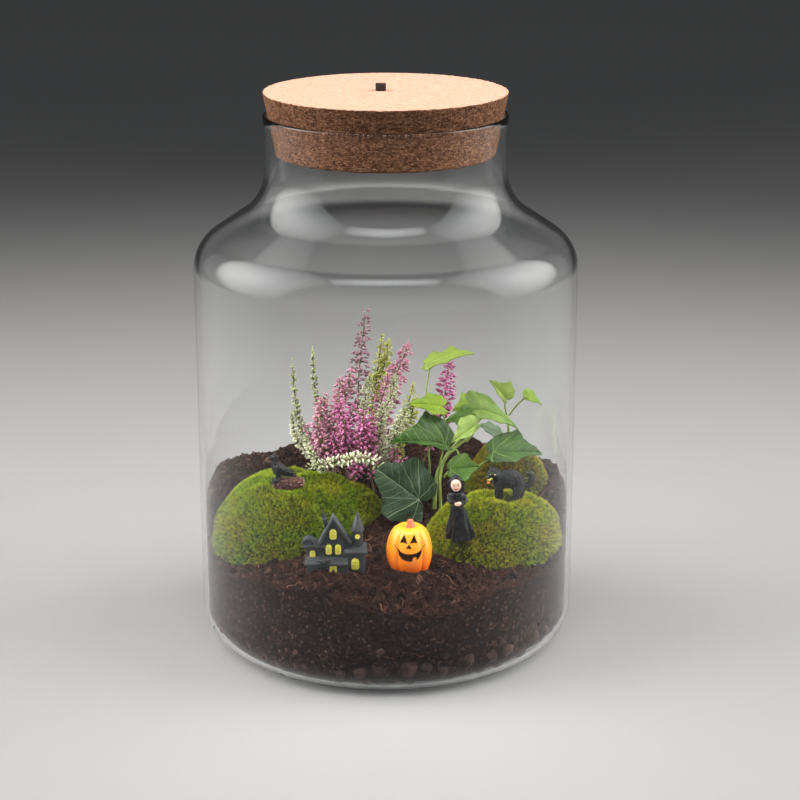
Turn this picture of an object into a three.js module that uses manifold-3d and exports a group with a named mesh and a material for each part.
// A closed plant jar: clear glass jar with a tapered cork lid, planted with heather and ivy
// over moss, soil and a bed of fired-clay pebbles, with five small cast figures.
// Millimetres, +Z up, origin at the middle of the jar's flat base, the viewer at -Y.
import * as THREE from 'three';
import { mergeVertices } from 'three/addons/utils/BufferGeometryUtils.js';
import Module from 'manifold-3d';

const wasm = await Module();
wasm.setup();

// ---------------------------------------------------------------- driving dimensions
const GAP = 0.3; // clearance between neighbouring pieces
const TURN = Math.PI * 2;

const JAR_RADIUS = 100;
const JAR_WALL = 2.4;
const JAR_CORNER = 20; // radius between base and wall
const JAR_SHOULDER_Z = 203.5; // where the straight wall ends
const JAR_SHOULDER_RADIUS = 21;
const JAR_SLOPE = THREE.MathUtils.degToRad(56); // how far the shoulder turns inwards
const JAR_THROAT_RADIUS = 28; // hollow curve from the slope into the neck
const NECK_RADIUS = 62.6;
const RIM_Z = 283;
const RIM_FLARE = 0.5;
const JAR_SIDES = 32; // the soil has the same sides, so the gap between them is even

const CORK_TOP_Z = 294.5;
const CORK_HEIGHT = 32;
const CORK_TOP_RADIUS = 63;
const CORK_BOTTOM_RADIUS = 56.6;
const CORK_SIDES = 32;
const PLUG_WIDTH = 5.3;
const PLUG_HEAD = 3.2; // height that stands above the lid
const PLUG_SHAFT = 4;
const PLUG_DEPTH = 14;

const SOIL_RADIUS = JAR_RADIUS - JAR_WALL - GAP;
const SOIL_LEVEL = 66; // height of the soil at the jar's axis
const SOIL_RISE = 0.16; // slope up to the back
const SOIL_FOOT = 20.9; // the soil's underside, on top of the pebbles
const SOIL_BLANK_LOW = 38; // below this height the soil is a plain round block
const SOIL_BLANK_TOP = 80;

const PEBBLE_ROWS = [
  { z: 8, size: 4.7, count: 16 },
  { z: 15.2, size: 4.7, count: 16 },
];
const PEBBLE_ROOM = 0.5; // clearance between a pebble and the glass
const BED_SIDES = 24;
const BED_PROFILE = [[0, 2.8], [76, 2.8], [84, 6], [88.5, 11], [88.5, 17.5], [84, 20.5], [0, 20.5]];

// ---------------------------------------------------------------- solids and joins
function randomFrom(seed) {
  let state = seed >>> 0;
  return () => {
    state = (state + 0x6d2b79f5) >>> 0;
    let mixed = Math.imul(state ^ (state >>> 15), 1 | state);
    mixed = (mixed + Math.imul(mixed ^ (mixed >>> 7), 61 | mixed)) ^ mixed;
    return ((mixed ^ (mixed >>> 14)) >>> 0) / 4294967296;
  };
}

function signedVolume(points, faces) {
  const corner = (i) => new THREE.Vector3(points[3 * i], points[3 * i + 1], points[3 * i + 2]);
  let total = 0;
  for (let i = 0; i < faces.length; i += 3) {
    total += corner(faces[i]).dot(corner(faces[i + 1]).cross(corner(faces[i + 2])));
  }
  return total;
}

// A closed geometry becomes a solid: its corners are merged, flat scraps at the poles are
// dropped and the faces are turned outwards.
function solid(geometry) {
  const bare = geometry.clone();
  for (const name of Object.keys(bare.attributes)) {
    if (name !== 'position') bare.deleteAttribute(name);
  }
  const merged = mergeVertices(bare, 1e-4);
  const points = Float32Array.from(merged.attributes.position.array);
  const index = merged.index.array;
  const faces = [];
  for (let i = 0; i < index.length; i += 3) {
    const [a, b, c] = [index[i], index[i + 1], index[i + 2]];
    if (a !== b && b !== c && c !== a) faces.push(a, b, c);
  }
  if (signedVolume(points, faces) < 0) faces.reverse();
  const triVerts = Uint32Array.from(faces);
  return new wasm.Manifold(new wasm.Mesh({ numProp: 3, vertProperties: points, triVerts }));
}

function join(bodies) {
  return bodies.reduce((sum, body) => sum.add(body));
}

// The largest closed body: loose scraps and sealed hollows are left out.
function mainBody(body) {
  return body.decompose().sort((a, b) => b.volume() - a.volume())[0];
}

function geometryOf(body) {
  const mesh = mainBody(body).getMesh();
  const geometry = new THREE.BufferGeometry();
  geometry.setAttribute('position', new THREE.BufferAttribute(mesh.vertProperties, 3));
  geometry.setIndex(new THREE.BufferAttribute(mesh.triVerts, 1));
  geometry.computeVertexNormals();
  return geometry;
}

const terrarium = new THREE.Group();

function addPiece(name, body, look, place = [0, 0, 0]) {
  const mesh = new THREE.Mesh(geometryOf(body), new THREE.MeshStandardMaterial(look));
  mesh.name = name;
  mesh.position.set(...place);
  terrarium.add(mesh);
}

// ---------------------------------------------------------------- simple forms
const vec = (p) => new THREE.Vector3(...p);
const smooth = (t) => THREE.MathUtils.smoothstep(t, 0, 1);

function block(width, depth, height, x, y, z) {
  return solid(new THREE.BoxGeometry(width, depth, height).translate(x, y, z + height / 2));
}

function drum(lowRadius, topRadius, height, sides, x, y, z) {
  const geometry = new THREE.CylinderGeometry(topRadius, lowRadius, height, sides);
  return solid(geometry.rotateX(Math.PI / 2).translate(x, y, z + height / 2));
}

function ball(rx, ry, rz, x, y, z, columns = 10, rows = 6) {
  const geometry = new THREE.SphereGeometry(1, columns, rows).rotateX(Math.PI / 2);
  return solid(geometry.scale(rx, ry, rz).translate(x, y, z));
}

function turned(profile, sides) {
  const points = profile.map(([radius, z]) => new THREE.Vector2(radius, z));
  return new THREE.LatheGeometry(points, sides).rotateX(Math.PI / 2);
}

function tube(path, radius, steps, sides = 5) {
  const ring = new THREE.Shape();
  for (let i = 0; i < sides; i += 1) {
    const angle = (TURN * i) / sides;
    const corner = [radius * Math.cos(angle), radius * Math.sin(angle)];
    if (i === 0) ring.moveTo(...corner);
    else ring.lineTo(...corner);
  }
  ring.closePath();
  const extrudePath = new THREE.CatmullRomCurve3(path.map(vec));
  return solid(new THREE.ExtrudeGeometry(ring, { steps, extrudePath, curveSegments: 1 }));
}

// An outline drawn as seen from the front, [x, z] each, with its depth from front to back.
function frontPrism(outline, front, depth) {
  const shape = new THREE.Shape(outline.map(([x, z]) => new THREE.Vector2(x, z)));
  const geometry = new THREE.ExtrudeGeometry(shape, { depth, bevelEnabled: false });
  return solid(geometry.rotateX(Math.PI / 2).translate(0, front + depth, 0));
}

// An outline drawn as seen from the side, [y, z] each, running along X.
function sidePrism(outline, left, length) {
  const shape = new THREE.Shape(outline.map(([y, z]) => new THREE.Vector2(y, z)));
  const geometry = new THREE.ExtrudeGeometry(shape, { depth: length, bevelEnabled: false });
  const alongX = new THREE.Matrix4().makeBasis(vec([0, 1, 0]), vec([0, 0, 1]), vec([1, 0, 0]));
  return solid(geometry.applyMatrix4(alongX).translate(left, 0, 0));
}

// ---------------------------------------------------------------- glass jar
function arcPoints(cx, cz, radius, from, to, count) {
  const points = [];
  for (let i = 0; i <= count; i += 1) {
    const angle = THREE.MathUtils.lerp(from, to, i / count);
    points.push([cx + radius * Math.cos(angle), cz + radius * Math.sin(angle)]);
  }
  return points;
}

// One face of the jar's wall from the axis up to the rim, set in by an inset.
function jarFace(inset, topZ) {
  const neck = NECK_RADIUS - inset;
  const corner = JAR_CORNER - inset;
  const shoulder = JAR_SHOULDER_RADIUS - inset;
  const throat = JAR_THROAT_RADIUS + inset;
  const inward = JAR_RADIUS - JAR_SHOULDER_RADIUS;
  const shoulderEnd = [
    inward + shoulder * Math.cos(JAR_SLOPE),
    JAR_SHOULDER_Z + shoulder * Math.sin(JAR_SLOPE),
  ];
  const throatStartRadius = neck + throat * (1 - Math.cos(JAR_SLOPE));
  const run = (shoulderEnd[0] - throatStartRadius) / Math.sin(JAR_SLOPE);
  const throatZ = shoulderEnd[1] + run * Math.cos(JAR_SLOPE) + throat * Math.sin(JAR_SLOPE);
  return [
    [0, inset],
    ...arcPoints(JAR_RADIUS - JAR_CORNER, JAR_CORNER, corner, -Math.PI / 2, 0, 4),
    ...arcPoints(inward, JAR_SHOULDER_Z, shoulder, 0, JAR_SLOPE, 3),
    ...arcPoints(neck + throat, throatZ, throat, Math.PI + JAR_SLOPE, Math.PI, 3),
    [neck, topZ - 8],
    [neck + RIM_FLARE, topZ],
  ];
}

function glassJar() {
  const lip = JAR_WALL / 2;
  const outer = jarFace(0, RIM_Z - lip);
  const inner = jarFace(JAR_WALL, RIM_Z - lip);
  const rim = [[NECK_RADIUS + RIM_FLARE - lip, RIM_Z]];
  return solid(turned([...outer, ...rim, ...inner.reverse()], JAR_SIDES));
}

addPiece('jar', glassJar(), { color: 0xdfe6e6, roughness: 0.05, metalness: 0 });

// ---------------------------------------------------------------- cork lid and its plug
const corkTaper = (CORK_TOP_RADIUS - CORK_BOTTOM_RADIUS) / CORK_HEIGHT;
const CORK_BOTTOM_Z = CORK_TOP_Z - CORK_HEIGHT;
const CORK_EDGE = 0.8;
const PLUG_TURN = THREE.MathUtils.degToRad(17);
const PLUG_X = -2.5;

function plugBody(grow) {
  const head = new THREE.BoxGeometry(PLUG_WIDTH, PLUG_WIDTH, PLUG_HEAD);
  head.translate(0, 0, CORK_TOP_Z + GAP + PLUG_HEAD / 2);
  const shaftWidth = PLUG_SHAFT + 2 * grow;
  const shaftHeight = PLUG_DEPTH + 1 + grow;
  const shaft = new THREE.BoxGeometry(shaftWidth, shaftWidth, shaftHeight);
  shaft.translate(0, 0, CORK_TOP_Z - PLUG_DEPTH - grow + shaftHeight / 2);
  const turnAndPlace = (geometry) => solid(geometry.rotateZ(PLUG_TURN).translate(PLUG_X, 0, 0));
  return [turnAndPlace(head), turnAndPlace(shaft)];
}

function corkLid() {
  const profile = [
    [0, CORK_BOTTOM_Z],
    [CORK_BOTTOM_RADIUS - CORK_EDGE, CORK_BOTTOM_Z],
    [CORK_BOTTOM_RADIUS, CORK_BOTTOM_Z + CORK_EDGE],
    [CORK_TOP_RADIUS - corkTaper * CORK_EDGE, CORK_TOP_Z - CORK_EDGE],
    [CORK_TOP_RADIUS - CORK_EDGE, CORK_TOP_Z],
    [0, CORK_TOP_Z],
  ];
  const shaftHole = plugBody(GAP)[1];
  return solid(turned(profile, CORK_SIDES)).subtract(shaftHole);
}

addPiece('cork_lid', corkLid(), { color: 0xc89a76, roughness: 0.9, metalness: 0 });
addPiece('vent_plug', join(plugBody(0)), { color: 0x1b1512, roughness: 0.7, metalness: 0 });

// ---------------------------------------------------------------- pebble bed
// A pebble near the wall keeps clear of the glass, also where the corner curves in.
function wallReach(z, size) {
  const room = JAR_CORNER - JAR_WALL - PEBBLE_ROOM - size;
  if (z >= JAR_CORNER) return JAR_RADIUS - JAR_CORNER + room;
  const drop = JAR_CORNER - z;
  return JAR_RADIUS - JAR_CORNER + Math.sqrt(Math.max(room * room - drop * drop, 0));
}

function pebbleBed() {
  const random = randomFrom(7);
  const bodies = [solid(turned(BED_PROFILE, BED_SIDES))];
  PEBBLE_ROWS.forEach(({ z, size, count }, row) => {
    for (let i = 0; i < count; i += 1) {
      const radius = size * (0.86 + 0.2 * random());
      const height = z + 0.8 * (random() - 0.5);
      const angle = (TURN * (i + 0.5 * row + 0.5 * (random() - 0.5))) / count;
      const reach = wallReach(height, radius) - 0.8 * random() * row;
      const stone = new THREE.IcosahedronGeometry(radius, 0);
      stone.rotateX(random() * TURN).rotateY(random() * TURN);
      stone.translate(reach * Math.cos(angle), reach * Math.sin(angle), height);
      bodies.push(solid(stone));
    }
  });
  return join(bodies);
}

addPiece('clay_pebbles', pebbleBed(), { color: 0x6b3a2c, roughness: 0.95, metalness: 0 });

// ---------------------------------------------------------------- soil surface
// Gentle lumps, from a few crossing waves.
function lumps(x, y, size) {
  const a = Math.sin(x / size + 1.3 * Math.sin(y / (size * 1.7)));
  const b = Math.sin(y / size + 2.1 + 1.1 * Math.sin(x / (size * 1.4)));
  return (a + b) / 2;
}

const hump = (x, y, cx, cy, radius) => Math.exp(-((x - cx) ** 2 + (y - cy) ** 2) / radius ** 2);

// The soil rises to the back, is banked up along both sides and dips at the front.
function soilHeight(x, y) {
  const side = smooth((Math.abs(x) - 60) / 36) * smooth((y + 34) / 30);
  const bank = 15 * side * (1 - 0.45 * smooth((y - 20) / 40));
  const frontRise = 5 * hump(x, y, -45, -86, 30);
  const frontDip = 7 * hump(x, y, 24, -99, 26);
  const cornerDip = 7 * smooth((Math.abs(x) - 62) / 30) * smooth((-18 - y) / 22);
  const level = SOIL_LEVEL + SOIL_RISE * y + bank + frontRise - frontDip - cornerDip;
  return level + 1.1 * lumps(x, y, 7);
}

function soilBlank() {
  const profile = [
    [0, SOIL_FOOT],
    [SOIL_RADIUS, SOIL_FOOT],
    [SOIL_RADIUS, SOIL_BLANK_LOW],
    [SOIL_RADIUS, SOIL_BLANK_TOP],
  ];
  for (const share of [0.88, 0.73, 0.56, 0.38, 0.19, 0]) {
    profile.push([SOIL_RADIUS * share, SOIL_BLANK_TOP]);
  }
  const geometry = turned(profile, JAR_SIDES);
  const position = geometry.attributes.position;
  for (let i = 0; i < position.count; i += 1) {
    const z = position.getZ(i);
    if (z > SOIL_BLANK_LOW) {
      const share = (z - SOIL_BLANK_LOW) / (SOIL_BLANK_TOP - SOIL_BLANK_LOW);
      const top = soilHeight(position.getX(i), position.getY(i));
      position.setZ(i, THREE.MathUtils.lerp(SOIL_BLANK_LOW, top, share));
    }
  }
  return solid(geometry);
}

// Everything that stands in the soil adds its own hole or seat here.
const soilCuts = [];
const HOLE_ROOM = 0.7; // a stem's hole is this much wider all round
const CUT_HEIGHT = 60; // every cut runs up through the top of the soil or moss

function stemHole([x, y, z], radius) {
  const wide = radius + HOLE_ROOM;
  soilCuts.push(drum(wide, wide, CUT_HEIGHT, 6, x, y, z - GAP));
}

// A figure's flat-bottomed seat, moved aside from the figure's own middle where needed.
function seatBlock([width, depth], [x, y, z], [shiftX, shiftY] = [0, 0]) {
  return block(width, depth, CUT_HEIGHT, x + shiftX, y + shiftY, z - GAP);
}

function seatDrum(radius, [x, y, z], shiftX = 0) {
  return drum(radius, radius, CUT_HEIGHT, 20, x + shiftX, y, z - GAP);
}

// ---------------------------------------------------------------- moss cushions
const MOSS_POINTS = 26;
const MOSS_RINGS = [0.2, 0.4, 0.6, 0.78, 0.92, 1];
const MOSS_CUSHIONS = {
  moss_left: {
    outline: [[-3, 2], [-14, -22], [-32, -44], [-54, -58], [-75, -54], [-89, -32], [-92, -4],
      [-80, 20], [-56, 26], [-38, 15], [-20, 9]],
    seat: [61.5, 0, 0.13],
    height: 27.5,
    color: 0x6c8a1e,
  },
  moss_right_front: {
    outline: [[20, -22], [26, -44], [43, -58], [62, -62], [80, -50], [90, -30], [91, -8],
      [72, -5], [48, -7], [30, -10]],
    seat: [58.5, 0.05, 0.13],
    height: 28,
    color: 0x718f22,
  },
  moss_right_back: {
    outline: [[47, 14], [45, 34], [58, 47], [72, 46], [84, 32], [89, 12], [78, 2], [58, 4]],
    seat: [60, 0.1, 0.1],
    height: 30,
    color: 0x7b7d26,
  },
};

const seatHeight = ([level, alongX, alongY], x, y) => level + alongX * x + alongY * y;

// The cushion's edge is a smooth closed line. Its top is a dome with small round tufts.
function mossSolid({ outline, seat, height }, grow, flatTop) {
  const edge = new THREE.CatmullRomCurve3(outline.map(([x, y]) => vec([x, y, 0])), true);
  const ring = edge.getSpacedPoints(MOSS_POINTS).slice(0, MOSS_POINTS);
  const centre = ring.reduce((sum, p) => sum.add(p), vec([0, 0, 0])).divideScalar(MOSS_POINTS);
  const position = [];
  const topAt = (x, y, share) => {
    const dome = height * (1 - share ** 2) ** 0.72;
    const tufts = 0.9 * lumps(x, y, 2.6) + 1.1 * lumps(y, x, 5.2);
    return seatHeight(seat, x, y) + dome + tufts * (1 - share ** 4);
  };
  const floorAt = (x, y) => seatHeight(seat, x, y) - grow;
  const addPoint = (x, y, z) => position.push(x, y, z);
  addPoint(centre.x, centre.y, flatTop ?? topAt(centre.x, centre.y, 0));
  for (const share of MOSS_RINGS) {
    for (const p of ring) {
      const out = p.clone().sub(centre);
      out.setLength(out.length() * share + grow * 1.4);
      const [x, y] = [centre.x + out.x, centre.y + out.y];
      const z = share === 1 ? floorAt(x, y) + 2.5 : topAt(x, y, share);
      addPoint(x, y, flatTop ?? z);
    }
  }
  const last = (MOSS_RINGS.length - 1) * MOSS_POINTS;
  for (let i = 0; i < MOSS_POINTS; i += 1) {
    const [x, y] = [position[3 * (1 + last + i)], position[3 * (1 + last + i) + 1]];
    addPoint(x, y, floorAt(x, y));
  }
  addPoint(centre.x, centre.y, floorAt(centre.x, centre.y));
  const index = [];
  const rings = MOSS_RINGS.length + 1;
  for (let i = 0; i < MOSS_POINTS; i += 1) {
    const next = (i + 1) % MOSS_POINTS;
    index.push(0, 1 + i, 1 + next);
    for (let r = 0; r + 1 < rings; r += 1) {
      const [a, b] = [1 + r * MOSS_POINTS + i, 1 + r * MOSS_POINTS + next];
      const [c, d] = [a + MOSS_POINTS, b + MOSS_POINTS];
      index.push(a, c, b, b, c, d);
    }
    const base = 1 + (rings - 1) * MOSS_POINTS;
    index.push(base + MOSS_POINTS, base + next, base + i);
  }
  const geometry = new THREE.BufferGeometry();
  geometry.setAttribute('position', new THREE.Float32BufferAttribute(position, 3));
  geometry.setIndex(index);
  return solid(geometry);
}

const mossCuts = { moss_left: [], moss_right_front: [], moss_right_back: [] };
const CLEAR_HEIGHT = 160; // top of every cutting body, above all of the soil and moss
for (const cushion of Object.values(MOSS_CUSHIONS)) {
  soilCuts.push(mossSolid(cushion, GAP, CLEAR_HEIGHT));
}

// ---------------------------------------------------------------- heather
// A spray is a slim bent stem with whorls of drooping buds from a bare foot up to its tip.
const STEM_DEPTH = 9; // how far a stem goes down into the soil
const HEATHER_STEM = 0.9;
const STEM_PIECE = 11.5; // longest straight length in a bent stem
const GOLDEN_ANGLE = 2.4;

// A bell, narrow at its root inside the stem and wide at its mouth.
function bellAt(root, axis, length, radius) {
  const bell = new THREE.ConeGeometry(radius, length, 3);
  bell.applyQuaternion(new THREE.Quaternion().setFromUnitVectors(vec([0, -1, 0]), axis));
  const centre = root.clone().addScaledVector(axis, length / 2);
  return solid(bell.translate(centre.x, centre.y, centre.z));
}

function heatherSpray({ path, bare, step, around, bud, tilt, seed }) {
  const random = randomFrom(seed);
  const [[x, y, z], ...above] = path;
  const foot = [x, y, z - STEM_DEPTH];
  const route = [foot, [x, y, z], [x, y, z + 3], ...above];
  const curve = new THREE.CatmullRomCurve3(route.map(vec));
  const length = curve.getLength();
  const bodies = [tube(route, HEATHER_STEM, Math.ceil(length / STEM_PIECE), 3)];
  const whorls = Math.round((length * (1 - bare)) / step);
  for (let i = 0; i < whorls; i += 1) {
    const share = (i + 0.6) / whorls;
    const along = bare + (1 - bare) * Math.min(share, 0.985);
    const centre = curve.getPointAt(along);
    const up = curve.getTangentAt(along);
    const side = new THREE.Vector3(0, 1, 0).cross(up).normalize();
    const front = up.clone().cross(side);
    const taper = 1 - 0.45 * share ** 3;
    for (let k = 0; k < around; k += 1) {
      const angle = i * GOLDEN_ANGLE + (TURN * k) / around + 0.5 * random();
      const lean = tilt + 0.25 * (random() - 0.5) + (share > 0.9 ? 0.6 : 0);
      const out = side.clone().multiplyScalar(Math.cos(angle));
      out.addScaledVector(front, Math.sin(angle)).multiplyScalar(Math.cos(lean));
      const axis = out.addScaledVector(up, Math.sin(lean)).normalize();
      bodies.push(bellAt(centre, axis, bud[0] * taper, bud[1] * taper));
    }
  }
  stemHole(foot, HEATHER_STEM);
  return join(bodies);
}

const SLIM = { step: 6, around: 2, bud: [3.2, 1.5], tilt: 0.5 };
const FULL = { step: 6.5, around: 3, bud: [5.8, 2.4], tilt: -0.15 };
const SMALL = { step: 5.6, around: 3, bud: [4.4, 1.6], tilt: -0.3 };
const NEEDLE = { step: 5.6, around: 2, bud: [3.8, 1.4], tilt: 0.9 };

const HEATHER = {
  heather_white_tall_left: { ...SLIM, color: 0xb9bf8f, bare: 0.36,
    path: [[-27, 41, 72], [-40, 39, 89], [-47, 38, 100], [-50.6, 38, 118], [-52, 38, 140]] },
  heather_white_tall_right: { ...SLIM, color: 0xb9bf8f, bare: 0.36,
    path: [[-22, 50, 73], [-32, 48, 87], [-37, 47, 104], [-40.3, 46, 125], [-41, 45, 145]] },
  heather_white_short: { ...SLIM, color: 0xb9bf8f, bare: 0.36,
    path: [[-31, 31, 71], [-41, 28, 88], [-49, 27, 98], [-51.5, 27, 106], [-52, 27, 113]] },
  heather_pink_left: { ...FULL, color: 0xc06ab0, bare: 0.36,
    path: [[-22, 34, 71], [-26.9, 33, 100], [-26.7, 33, 118], [-25.5, 33, 132]] },
  heather_pink_far_left: { ...FULL, color: 0xc06ab0, bare: 0.36,
    path: [[-28, 25, 70], [-35, 21, 96], [-36, 20, 112], [-33, 20, 126]] },
  heather_tallest: { ...FULL, color: 0xb083a0, bare: 0.4, around: 3,
    path: [[-17, 55, 75], [-16.5, 53, 104], [-15.3, 51, 133], [-13, 50, 162]] },
  heather_yellow_tall: { ...NEEDLE, color: 0xb9b64a, bare: 0.35,
    path: [[-9, 66, 77], [-8.5, 65, 103], [-6, 64, 123], [-3.2, 63, 149]] },
  heather_pink_right: { ...FULL, color: 0xc069a8, bare: 0.36,
    path: [[-5, 47, 73], [-1, 45, 100], [6.7, 43, 126], [12.2, 43, 147]] },
  heather_pink_second: { ...FULL, color: 0xbd6ba5, bare: 0.48,
    path: [[-9, 36, 71], [-7, 33, 84], [-4, 30, 108], [3, 29, 137]] },
  heather_magenta_middle: { ...FULL, color: 0xb94fae, bare: 0.3,
    path: [[-17, 21, 69], [-21, 18, 92], [-20, 17, 108], [-18, 17, 122]] },
  heather_magenta_right: { ...FULL, color: 0xb94fae, bare: 0.3,
    path: [[-7, 15, 68], [-7.5, 13, 88], [-7.5, 12, 104], [-7, 12, 118]] },
  heather_white_low: { ...SMALL, color: 0xd8d8b0, bare: 0.36,
    path: [[1, 9, 67], [0, 3, 86], [-9, -1, 97], [-20, -2, 97], [-31, -3, 95.5], [-42, -3, 93]] },
  heather_magenta_low: { ...SMALL, color: 0xb04aa0, bare: 0.35,
    path: [[8, 12, 67], [9, 10, 80], [8.5, 9, 96]] },
  heather_magenta_side: { ...SMALL, color: 0xb04aa0, bare: 0.35,
    path: [[3, 20, 69], [4, 19, 84], [4.5, 18, 100]] },
  heather_cream: { ...NEEDLE, color: 0xc9c182, bare: 0.36,
    path: [[2, 30, 71], [6, 27, 90], [9, 24, 108], [14.3, 22, 131]] },
  heather_pink_behind: { ...FULL, color: 0xb857ac, bare: 0.46,
    path: [[19, 46, 73], [26, 45, 95], [30, 44, 117], [31.5, 43, 138]] },
  heather_small_buds: { ...SMALL, color: 0xc77d9b, bare: 0.55,
    path: [[12.5, 1, 66], [11.4, 0, 76], [8.6, -3, 89]] },
};

const heatherBodies = {};
Object.entries(HEATHER).forEach(([name, spray], i) => {
  heatherBodies[name] = heatherSpray({ ...spray, seed: 20 + i });
});

// ---------------------------------------------------------------- ivy
// Half of a leaf's outline for a blade 1 long: [across, along], from the notch at the stalk
// round the basal lobe and the side lobe up to the tip.
const IVY_HALF = [
  [0, 0], [0.1, -0.14], [0.27, -0.19], [0.42, -0.08], [0.48, 0.14], [0.63, 0.34],
  [0.43, 0.41], [0.29, 0.5], [0.19, 0.72], [0, 1],
];
const IVY_LOBE = [0.63, 0.34]; // the side lobe in that outline
const BLADE = 0.8; // leaf thickness
const STALK_RADIUS = 0.75;

// Each half of the blade runs flat from the midrib to its own side lobe. The whole blade is
// then bowed along the midrib.
function ivyBlade({ joint, tip, lobes, arch = 0.3 }) {
  const along = vec(tip).sub(vec(joint));
  const length = along.length();
  const [lobeAcross, lobeAlong] = IVY_LOBE;
  const across = lobes.map((lobe) => vec(lobe).sub(vec(joint))
    .addScaledVector(along, -lobeAlong).divideScalar(lobeAcross));
  const normal = across[0].clone().sub(across[1]).cross(along).normalize();
  const lift = (x, y) => arch * (0.25 - (y - 0.5) ** 2) - 0.1 * x * x;
  const place = ([x, y], side) => vec(joint)
    .addScaledVector(across[x > 0 ? 0 : 1], Math.abs(x))
    .addScaledVector(along, y)
    .addScaledVector(normal, Math.sign(normal.z) * lift(x, y) * length + side * BLADE / 2);
  const position = [];
  const face3 = (a, b, c) => [a, b, c].forEach((p) => position.push(p.x, p.y, p.z));
  for (const hand of [-1, 1]) {
    for (let k = 0; k + 1 < IVY_HALF.length; k += 1) {
      const edge = [k, k + 1].map((i) => [hand * IVY_HALF[i][0], IVY_HALF[i][1]]);
      const rib = [k, k + 1].map((i) => [0, Math.max(IVY_HALF[i][1], 0)]);
      for (const side of [-1, 1]) {
        const [e0, e1, m0, m1] = [...edge, ...rib].map((p) => place(p, side));
        if (hand * side > 0) {
          face3(m0, e0, e1);
          face3(m0, e1, m1);
        } else {
          face3(m0, e1, e0);
          face3(m0, m1, e1);
        }
      }
      const [low0, low1, top0, top1] = [place(edge[0], -1), place(edge[1], -1),
        place(edge[0], 1), place(edge[1], 1)];
      if (hand > 0) {
        face3(low0, low1, top1);
        face3(low0, top1, top0);
      } else {
        face3(low0, top1, low1);
        face3(low0, top0, top1);
      }
    }
  }
  const geometry = new THREE.BufferGeometry();
  geometry.setAttribute('position', new THREE.Float32BufferAttribute(position, 3));
  return solid(geometry);
}

const IVY_LEAVES = {
  ivy_leaf_top: { joint: [23.6, 25, 141.5], tip: [47.7, 22, 148.4], arch: 0.3,
    lobes: [[33.3, 37, 146.5], [30.2, 14, 143.5]],
    stalk: [[24, 26, 61], [24, 26, 76], [22.6, 25, 100], [21.9, 25, 128]], color: 0x8fb63c },
  ivy_leaf_lime: { joint: [28.9, 8, 123.7], tip: [11.3, 3, 126.1], arch: 0.25,
    lobes: [[23.1, 13, 129.6], [24.9, 1, 120.4]],
    stalk: [[33.6, 11.9, 98.8], [33, 13, 108], [31, 10.6, 117]], color: 0x9cc02e },
  ivy_leaf_left: { joint: [31.2, 1, 103.8], tip: [1.5, -8, 107.3], arch: 0.45,
    lobes: [[20.5, 8, 119.6], [18.4, -12, 106.2]],
    stalk: [[28.5, 2.9, 84], [28.8, 2, 94.4]], color: 0x2c5c22 },
  ivy_leaf_veined: { joint: [17.2, -9, 76.9], tip: [-5.5, -9, 94.1], arch: 0.22,
    lobes: [[17.2, -4, 96.5], [1, -16, 69.8]],
    stalk: [[28.5, 0.6, 78.6], [22.5, -3.4, 78.2]], color: 0x233a26 },
  ivy_leaf_arching: { joint: [50.5, 10, 121], tip: [71.1, 4, 110.9], arch: 0.55,
    lobes: [[49.6, 18, 127.2], [58.6, 0, 114.6]],
    stalk: [[51.2, 10, 116.4], [51.2, 10.2, 119]], color: 0x5d9434 },
  ivy_leaf_behind: { joint: [47.9, 27, 117], tip: [35.9, 24, 115.9], arch: 0.25,
    lobes: [[41.3, 32, 124.1], [39.7, 20, 116.1]],
    stalk: [[41.6, 12.6, 106.8], [45, 20, 111]], color: 0x6fa52c },
  ivy_leaf_middle: { joint: [50.2, 19, 115], tip: [31.2, 16, 111.7], arch: 0.35,
    lobes: [[43.2, 25, 119.3], [38.2, 12, 110.7]],
    stalk: [[46.2, 12.9, 113], [48.6, 16, 113.8]], color: 0x3f7a2b },
  ivy_leaf_pale: { joint: [47.8, 4, 114.3], tip: [34.5, -2, 106.1], arch: 0.3,
    lobes: [[39, 4, 118.1], [44.1, -1, 108.8]],
    stalk: [[42.8, 3.5, 105.2], [46.5, 3.8, 109.5]], color: 0xa6bb5a },
  ivy_leaf_sprout: { joint: [65.8, 42, 117.6], tip: [56.5, 40, 128.7], arch: 0.2,
    lobes: [[69.2, 45, 126.5], [60.8, 36, 121.6]],
    stalk: [[68, 55.4, 103.4], [66.4, 48, 110]], color: 0x86b832 },
  ivy_leaf_sprout_small: { joint: [76.9, 37, 120.2], tip: [86, 31, 117.2], arch: 0.4,
    lobes: [[81, 40, 122.9], [80.3, 33, 117.6]],
    stalk: [[69.3, 56.6, 103.6], [73.2, 46, 113]], color: 0x9ab83c },
  ivy_leaf_dark: { joint: [57.4, -2, 100.9], tip: [83.4, -3, 99.7], arch: 0.4,
    lobes: [[70.5, 8, 109.6], [68.8, -10, 96.3]],
    stalk: [[33.6, 3.6, 92], [44, 2, 89.6], [52.4, 0, 94.6]], color: 0x26501f },
  ivy_leaf_front: { joint: [34.4, -6, 92.7], tip: [50.2, -9, 94.8], arch: 0.3,
    lobes: [[42.5, -3, 101.3], [42.9, -14, 88.3]],
    stalk: [[31.1, 1.1, 86.1], [32.6, -3, 90]], color: 0x2f6a24 },
  ivy_leaf_grey: { joint: [64.3, 53, 92], tip: [51.1, 55, 97.8], arch: 0.3,
    lobes: [[58.8, 60, 98], [55.6, 49, 94.8]],
    stalk: [[67.75, 56, 86], [65.8, 54.2, 89]], color: 0x7d9a78 },
};

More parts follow.
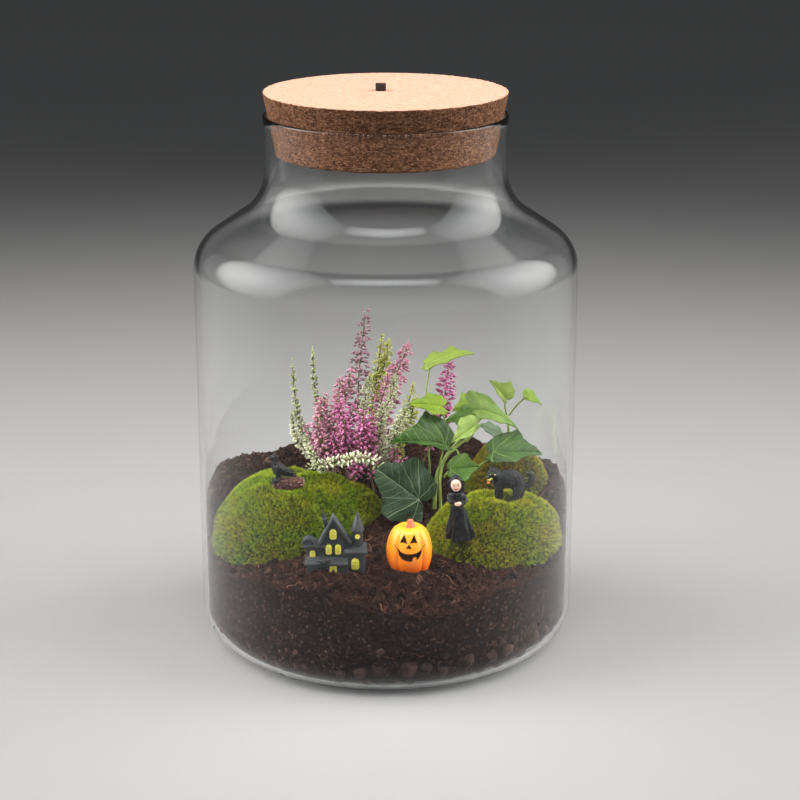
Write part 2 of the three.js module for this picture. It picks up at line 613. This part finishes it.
const IVY_STEMS = {
  ivy_stem_main: { radius: 1.2,
    path: [[26, 6, 60], [26.3, 6, 72], [27.9, 8, 87], [33.8, 10, 98], [42.4, 10.5, 108],
      [50.5, 10, 115.3]] },
  ivy_stem_second: { radius: 0.9,
    path: [[29.3, 0, 59], [29.3, 0, 70], [30.5, 2.5, 86], [35, 3.6, 97], [41.8, 3.4, 104.2]],
    tendril: [[34.4, 3.4, 96.4], [37.4, 1.4, 99], [39.4, 1.6, 98.4], [40.2, 2, 96.6]] },
  ivy_stem_back: { radius: 1.1,
    path: [[70, 57, 66], [70, 57, 80], [69, 56.4, 94], [68.6, 56, 102.6]] },
};
const TENDRIL_RADIUS = 0.65;
const STEM_GREEN = 0x8aa052;

for (const [name, { radius, path, tendril }] of Object.entries(IVY_STEMS)) {
  const bodies = [tube(path, radius, 8, 5)];
  if (tendril) bodies.push(tube(tendril, TENDRIL_RADIUS, 5, 4));
  stemHole(path[0], radius);
  addPiece(name, join(bodies), { color: STEM_GREEN, roughness: 0.6, metalness: 0 });
}
for (const [name, leaf] of Object.entries(IVY_LEAVES)) {
  const end = vec(leaf.joint).lerp(vec(leaf.tip), 0.06).toArray();
  const stalk = tube([...leaf.stalk, end], STALK_RADIUS, leaf.stalk.length + 2, 4);
  addPiece(name, ivyBlade(leaf).add(stalk), { color: leaf.color, roughness: 0.5, metalness: 0 });
}
stemHole(IVY_LEAVES.ivy_leaf_top.stalk[0], STALK_RADIUS);
for (const [name, body] of Object.entries(heatherBodies)) {
  addPiece(name, body, { color: HEATHER[name].color, roughness: 0.8, metalness: 0 });
}

// ---------------------------------------------------------------- haunted house
const HOUSE_PLACE = [-26, -71, 55];
const HOUSE_SEAT = [35.6, 17.6]; // width and depth of the recess it stands in
const RELIEF = 0.6; // depth of window recesses

function archOutline(width, height, x, z) {
  const half = width / 2;
  const top = arcPoints(x, z + height - half, half, 0, Math.PI, 4);
  return [[x - half, z], [x + half, z], ...top];
}

function hauntedHouse() {
  const walls = [
    block(14.5, 11, 20.5, -0.4, 5.5, 0),
    block(22, 7.5, 9.5, -4.4, -2.2, 0),
    block(13.5, 9, 18, -10.4, 4.5, 0),
    block(9.4, 9, 15, 11.1, 4.5, 0),
    drum(3.2, 3, 28, 8, 11, 2.4, 0),
    tube([[-5, 4, 20], [-5.8, 4, 29], [-6.3, 4, 34.5]], 0.9, 2, 6),
  ];
  const roofs = [
    frontPrism([[-8.8, 19.6], [8.2, 19.6], [-1.1, 35.7]], -0.9, 12.5),
    sidePrism([[-7.6, 9.2], [0.6, 9.2], [0.6, 13.2]], -16, 23.2),
    sidePrism([[-1.4, 17.4], [10.4, 17.4], [4.5, 22.6]], -17.4, 15),
    sidePrism([[-1.4, 14.6], [10.4, 14.6], [4.5, 20]], 4.6, 12.6),
    drum(4.1, 0, 9, 8, 11, 2.4, 27.6),
    drum(1.7, 0, 4, 6, -6.4, 4, 33.6),
  ];
  const windows = [
    { outline: archOutline(3, 5.2, -1, 22.8), front: -0.9 },
    { outline: archOutline(2.2, 4.2, -3.2, 14.6), front: 0 },
    { outline: archOutline(2.2, 4.2, 1.4, 14.6), front: 0 },
    { outline: archOutline(2.6, 3.2, -11.6, 13.4), front: 0 },
    { outline: archOutline(4.2, 6.4, 10.4, 5.6), front: -0.8 },
    { outline: archOutline(4, 5.4, -0.9, 2.2), front: -5.95 },
    { outline: archOutline(2.4, 2.4, 11, 23), front: -0.8 },
  ];
  const recesses = windows.map(({ outline, front }) => frontPrism(outline, front - 2, 2 + RELIEF));
  return join([...walls, ...roofs]).subtract(join(recesses));
}

const HOUSE_LOOK = { color: 0x202123, roughness: 0.5, metalness: 0 };
addPiece('haunted_house', hauntedHouse(), HOUSE_LOOK, HOUSE_PLACE);
soilCuts.push(seatBlock(HOUSE_SEAT, HOUSE_PLACE, [-0.4, 2.5]));

// ---------------------------------------------------------------- pumpkin
const PUMPKIN_PLACE = [12, -64, 54.8];
const PUMPKIN_PROFILE = [
  [0, 0], [6.4, 0], [9.8, 3.2], [11.6, 9], [11.9, 14.4], [10.8, 20.8], [8.2, 26], [4.6, 27.6],
  [0, 26.4],
];
const PUMPKIN_RIBS = 8;

function pumpkinBody(scale) {
  const geometry = turned(PUMPKIN_PROFILE, PUMPKIN_RIBS * 3);
  const position = geometry.attributes.position;
  for (let i = 0; i < position.count; i += 1) {
    const [x, y] = [position.getX(i), position.getY(i)];
    const rib = Math.abs(Math.cos((PUMPKIN_RIBS / 2) * (Math.atan2(y, x) + Math.PI / 2)));
    const swell = Math.hypot(x, y) > 7 ? 0.93 + 0.08 * rib : 1;
    position.setXYZ(i, x * swell * scale, y * swell * scale, position.getZ(i));
  }
  return solid(geometry);
}

function pumpkin() {
  const body = pumpkinBody(1);
  const stem = tube([[0.5, 0, 25], [0.5, 0, 28], [0.3, 0, 31]], 2.4, 3, 7);
  const triangle = (x, z, size) => {
    const low = z - size * 0.8;
    return [[x - size, low], [x + size, low], [x, z + size]];
  };
  const mouth = [[-5.4, 15], [-4, 13.4], [-1.8, 12.5], [-1.6, 13.8], [-0.2, 13.6], [0, 12.2],
    [1.8, 12.4], [4.2, 13.6], [5.8, 15.2], [5, 12.4], [3.4, 10.4], [1.2, 9.4], [-0.8, 9.4],
    [-3, 10.4], [-4.6, 12.4]];
  const cuts = [triangle(-2.75, 21.4, 1.7), triangle(2, 21.4, 1.7), triangle(-0.4, 17.8, 1), mouth];
  const face = join(cuts.map((outline) => frontPrism(outline, -16, 12)));
  const skin = face.subtract(pumpkinBody(1 - 1.1 / 12.3));
  return body.subtract(skin).add(stem);
}

const PUMPKIN_LOOK = { color: 0xf08a1c, roughness: 0.35, metalness: 0 };
addPiece('pumpkin', pumpkin(), PUMPKIN_LOOK, PUMPKIN_PLACE);
soilCuts.push(seatDrum(13.2, PUMPKIN_PLACE));

// ---------------------------------------------------------------- robed figure
const ROBED_PLACE = [38, -50, 70.5];

function robedFigure() {
  const skirtProfile = [[0, 0], [7.4, 0], [7.2, 2], [4.8, 11], [2.7, 18.6], [3.6, 23.4],
    [2.2, 25.4], [0, 26]];
  const skirt = turned(skirtProfile, 14);
  const position = skirt.attributes.position;
  for (let i = 0; i < position.count; i += 1) {
    const [x, y, z] = [position.getX(i), position.getY(i), position.getZ(i)];
    const low = smooth((16 - z) / 16);
    const angle = Math.atan2(y, x);
    const pleat = 1 + 0.08 * low * Math.cos(9 * angle);
    const train = x > 0 ? 1 + 0.22 * low * (x / 8) : 1;
    position.setXYZ(i, x * pleat * train, y * pleat * 0.82, z);
  }
  return join([
    solid(skirt),
    tube([[-3.6, 0.4, 24.2], [-4.6, -0.6, 21], [-2.6, -2.6, 19.4], [0.2, -3.2, 19.8]], 1.3, 3, 5),
    tube([[3.6, 0.4, 24.2], [4.8, -0.6, 21], [3, -2.6, 19.4], [0.4, -3.2, 19.8]], 1.3, 3, 5),
    ball(1.5, 1, 1.1, 0.3, -3.7, 19.9, 5, 3),
    ball(2.35, 2.5, 3.1, 0, -0.6, 29.4, 7, 5),
    ball(3.1, 2.9, 3.4, 0, 0.8, 30.6, 7, 5),
    tube([[-2.5, 0.9, 31], [-3, 1, 26], [-3.1, 1, 21.6]], 1.1, 2, 4),
    tube([[2.5, 0.9, 31], [3, 1, 26], [3.1, 1, 21.6]], 1.1, 2, 4),
    tube([[0, 2.2, 31], [0, 2.7, 26], [0, 2.6, 20]], 2, 2, 5),
  ]);
}

const ROBED_LOOK = { color: 0x17171a, roughness: 0.3, metalness: 0 };
addPiece('robed_figure', robedFigure(), ROBED_LOOK, ROBED_PLACE);
mossCuts.moss_right_front.push(seatDrum(9.6, ROBED_PLACE, 0.6));

// ---------------------------------------------------------------- cat
const CAT_PLACE = [63, -28, 83];
// Each leg's hip or shoulder [x, y], and how far its paw stands forward of it.
const CAT_LEGS = [[-4.2, -1.8, -0.2], [-3.2, 1.9, 0.6], [5.6, -2.1, -2.2], [7.4, 2, -0.4]];

function cat() {
  const leg = (x, y, step) => tube([[x, y, 9], [x + step / 2, y, 4], [x + step, y, 0.4]], 1.6, 2, 5);
  return join([
    ball(6.2, 3.8, 4.8, 2.2, 0, 11.4, 7, 5),
    ball(3.6, 3.8, 4.4, 6, 0, 8.8, 7, 5),
    ball(3.3, 3.3, 4.2, -3.6, 0, 10.4, 7, 5),
    ...CAT_LEGS.map(([x, y, step]) => leg(x, y, step)),
    tube([[-3.4, 0, 12], [-6.4, -0.6, 15]], 2.6, 1, 6),
    ball(3, 2.8, 2.7, -7.1, -1.3, 15.6, 7, 5),
    ball(1.6, 1.5, 1.4, -9.2, -2.8, 13.6, 6, 4),
    drum(1.2, 0.25, 3.2, 4, -7.9, -0.9, 17.3),
    drum(1.2, 0.25, 2.2, 4, -4.9, -0.9, 16.7),
    tube([[7.6, 0, 9.6], [10.2, 0.2, 8.2], [12.8, 0.2, 9.4], [14, 0.2, 12.2], [13.2, 0.2, 14.6],
      [11.4, 0.2, 15]], 1.5, 5, 4),
  ]);
}

addPiece('cat', cat(), { color: 0x1b1c20, roughness: 0.4, metalness: 0 }, CAT_PLACE);
mossCuts.moss_right_front.push(seatBlock([22, 9], CAT_PLACE));

// ---------------------------------------------------------------- raven on a log
const RAVEN_PLACE = [-52, -17, 85];

function ravenOnLog() {
  const log = turned([[0, -8.6], [2.5, -8.4], [3.1, -6], [2.8, -2], [3.2, 3], [2.5, 8.6],
    [0, 8.8]], 8).rotateY(Math.PI / 2);
  const position = log.attributes.position;
  for (let i = 0; i < position.count; i += 1) {
    position.setZ(i, Math.max(position.getZ(i), -2.5) + 2.5);
  }
  return join([
    solid(log),
    tube([[-5.4, 0, 12.6], [-2.6, 0, 11.2], [0.8, 0, 9.4], [3.2, 0, 8.6]], 2.3, 3, 6),
    ball(2.6, 2.6, 3.7, -5.8, 0, 12.2, 7, 5),
    tube([[-6.6, 0, 18.2], [-6.5, 0, 15], [-6, 0, 12.4]], 1.8, 2, 6),
    ball(2, 1.7, 1.8, -6.7, 0, 18.5, 7, 5),
    tube([[-7.6, 0, 18.8], [-10, 0, 18.5]], 0.7, 1, 4),
    frontPrism([[0.4, 10.6], [1.4, 7.8], [4.7, 7.3], [4.8, 8.5]], -1.3, 2.6),
    drum(0.8, 0.8, 5, 4, -5.6, -1.2, 4.6),
    drum(0.8, 0.8, 5, 4, -4.6, 1.2, 4.6),
    ball(1.8, 1.8, 1.2, -6, -0.8, 5.5, 5, 3),
    ball(1.6, 1.3, 1.4, 4.2, -2.6, 1.6, 5, 3),
  ]);
}

const RAVEN_LOOK = { color: 0x241a18, roughness: 0.55, metalness: 0 };
addPiece('raven_on_log', ravenOnLog(), RAVEN_LOOK, RAVEN_PLACE);
mossCuts.moss_left.push(seatBlock([19.4, 10], RAVEN_PLACE));

// ---------------------------------------------------------------- soil and moss, cut to seat
for (const [name, cushion] of Object.entries(MOSS_CUSHIONS)) {
  const body = [mossSolid(cushion, 0), ...mossCuts[name]].reduce((rest, cut) => rest.subtract(cut));
  addPiece(name, body, { color: cushion.color, roughness: 0.95, metalness: 0 });
}
const soil = soilBlank().subtract(join(soilCuts));
addPiece('soil', soil, { color: 0x2a1710, roughness: 1, metalness: 0 });

export default terrarium;
